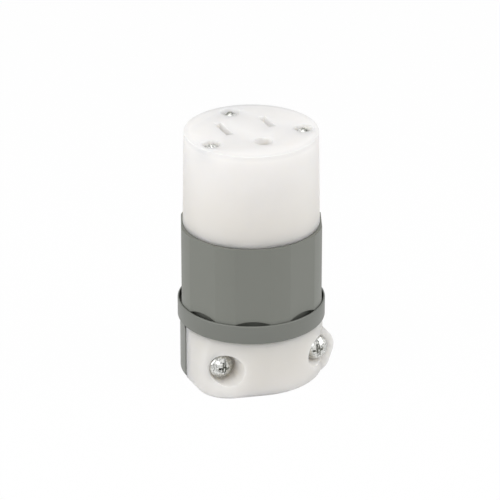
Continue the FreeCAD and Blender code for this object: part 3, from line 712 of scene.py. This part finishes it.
def build_screw(name, shank, length, head, height, brim, slot, slot_depth, span, cross_depth):
    """Pan head screw standing on its seat at the origin, with a slot and a cross in its head."""
    screw = turn_profile(name, screw_profile(shank, length, head, height, brim), steps=64)
    cut(screw, add_block("drive_slot", (-2 * head, -slot / 2, height - slot_depth),
                         (2 * head, slot / 2, 2 * height)))
    arm = slot * CROSS_ARM_SHARE
    for half_x, half_y in ((span / 2, arm), (arm, span / 2)):
        wedge = add_block("drive_cross", (-half_x, -half_y, height - cross_depth),
                          (half_x, half_y, 2 * height))
        edit(wedge)
        pick_points(wedge, lambda co: co.z < height)
        bpy.ops.transform.resize(value=(CROSS_TAPER, CROSS_TAPER, 1), center_override=(0, 0, 0))
        leave_edit()
        cut(screw, wedge)
    soften(screw, SCREW_SOFTNESS, angle=40)
    return screw


def stand_screw(screw, place, tilt, turn):
    """Turns the screw's drive, leans it over and moves it to its seat."""
    select_only(screw)
    screw.rotation_euler = (0, 0, turn)
    apply_transform()
    screw.rotation_euler = (tilt, 0, 0)
    screw.location = place
    apply_transform()


def build_screws():
    """The two screws of the cord clamp and the three in the socket face."""
    for side, x, turn in zip(("left", "right"), (-SCREW_X, SCREW_X), CLAMP_TURNS):
        screw = build_screw("clamp_screw_%s_skin" % side, **CLAMP_SCREW)
        stand_screw(screw, (x, SEAT_Y, SCREW_Z), math.pi / 2, turn)
        dress(screw, "plated_steel", side + "_screw", "clamp_screw_" + side)
    for (side, x, y), turn in zip(face_screw_places(), FACE_TURNS):
        screw = build_screw("face_screw_%s_skin" % side, **FACE_SCREW)
        stand_screw(screw, (x, y, FACE_SEAT), 0.0, turn)
        dress(screw, "plated_steel", "housing", "face_screw_" + side)


def dress_inner_nodes():
    """Materials of the CAD pieces that stay as they are."""
    slots = {item["node"]: item["material_slot"] for item in frame["record"]["subparts"]}
    for name, node in frame["nodes"].items():
        node.data.materials.clear()
        node.data.materials.append(SLOT_FINISH[slots[name]])


# Setting

def add_seen_rays(tree):
    """1 for the rays that show a background: to the camera, off gloss or through glass."""
    light = add_node(tree, "ShaderNodeLightPath")
    seen = add_node(tree, "ShaderNodeMath", {"operation": "MAXIMUM"},
                    {0: light.outputs["Is Camera Ray"], 1: light.outputs["Is Glossy Ray"]})
    return add_node(tree, "ShaderNodeMath", {"operation": "MAXIMUM"},
                    {0: seen.outputs[0], 1: light.outputs["Is Transmission Ray"]})


def build_floor():
    """White floor that shows as plain white, with a trace of the object's soft shadow on it."""
    clear_selection()
    bpy.ops.mesh.primitive_plane_add(size=FLOOR_SIZE, location=(0, 0, 0))
    floor = finish_primitive("floor")
    material, tree = new_material("white floor")
    seen = add_seen_rays(tree)
    share = add_node(tree, "ShaderNodeMath", {"operation": "MULTIPLY", 1: FLOOR_GLOW}, {0: seen.outputs[0]})
    matt = add_node(tree, "ShaderNodeBsdfDiffuse", {"Color": linear("#F2F2F2")})
    glow = add_node(tree, "ShaderNodeEmission", {"Color": (1, 1, 1, 1), "Strength": 1.0})
    mix = add_node(tree, "ShaderNodeMixShader",
                   links={"Fac": share.outputs[0], 1: matt.outputs[0], 2: glow.outputs[0]})
    close_material(tree, mix)
    floor.data.materials.append(material)


def build_world():
    """White surroundings that light the object less than they show."""
    world = bpy.data.worlds.new("studio")
    bpy.context.scene.world = world
    world.use_nodes = True
    tree = world.node_tree
    tree.nodes.clear()
    seen = add_seen_rays(tree)
    strength = add_node(tree, "ShaderNodeMapRange", {"To Min": WORLD_LIGHT, "To Max": WORLD_SEEN},
                        {"Value": seen.outputs[0]})
    sky = add_node(tree, "ShaderNodeBackground", {"Color": (1, 1, 1, 1)}, {"Strength": strength.outputs[0]})
    add_node(tree, "ShaderNodeOutputWorld", links={"Surface": sky.outputs[0]})


def add_softbox(name, location, size, power):
    """A square lamp that faces the middle of the object."""
    lamp = bpy.data.lights.new(name, "AREA")
    lamp.size = size
    lamp.energy = power
    lamp_object = bpy.data.objects.new(name, lamp)
    lamp_object.location = location
    aim = Vector((0, 0, FACE / 2)) - Vector(location)
    lamp_object.rotation_euler = aim.to_track_quat("-Z", "Y").to_euler()
    bpy.context.scene.collection.objects.link(lamp_object)


def build_lights():
    for softbox in SOFTBOXES:
        add_softbox(*softbox)


def build_camera():
    level = math.cos(CAMERA_ELEVATION)
    away = Vector((math.sin(CAMERA_AZIMUTH) * level, -math.cos(CAMERA_AZIMUTH) * level,
                   math.sin(CAMERA_ELEVATION)))
    camera = bpy.data.cameras.new("camera")
    camera.lens = CAMERA_LENS
    camera.sensor_width = CAMERA_SENSOR
    camera.shift_x = CAMERA_SHIFT
    camera.clip_start = CAMERA_NEAR
    camera_object = bpy.data.objects.new("camera", camera)
    camera_object.location = CAMERA_AIM + away * CAMERA_DISTANCE
    camera_object.rotation_euler = (-away).to_track_quat("-Z", "Y").to_euler()
    bpy.context.scene.collection.objects.link(camera_object)
    bpy.context.scene.camera = camera_object


dress_inner_nodes()
build_barrel()
build_sleeve()
build_back_housing()
build_jaw()
build_screws()
build_floor()
build_world()
build_lights()
build_camera()
bpy.context.scene.view_settings.view_transform = "Standard"
bpy.context.view_layer.update()
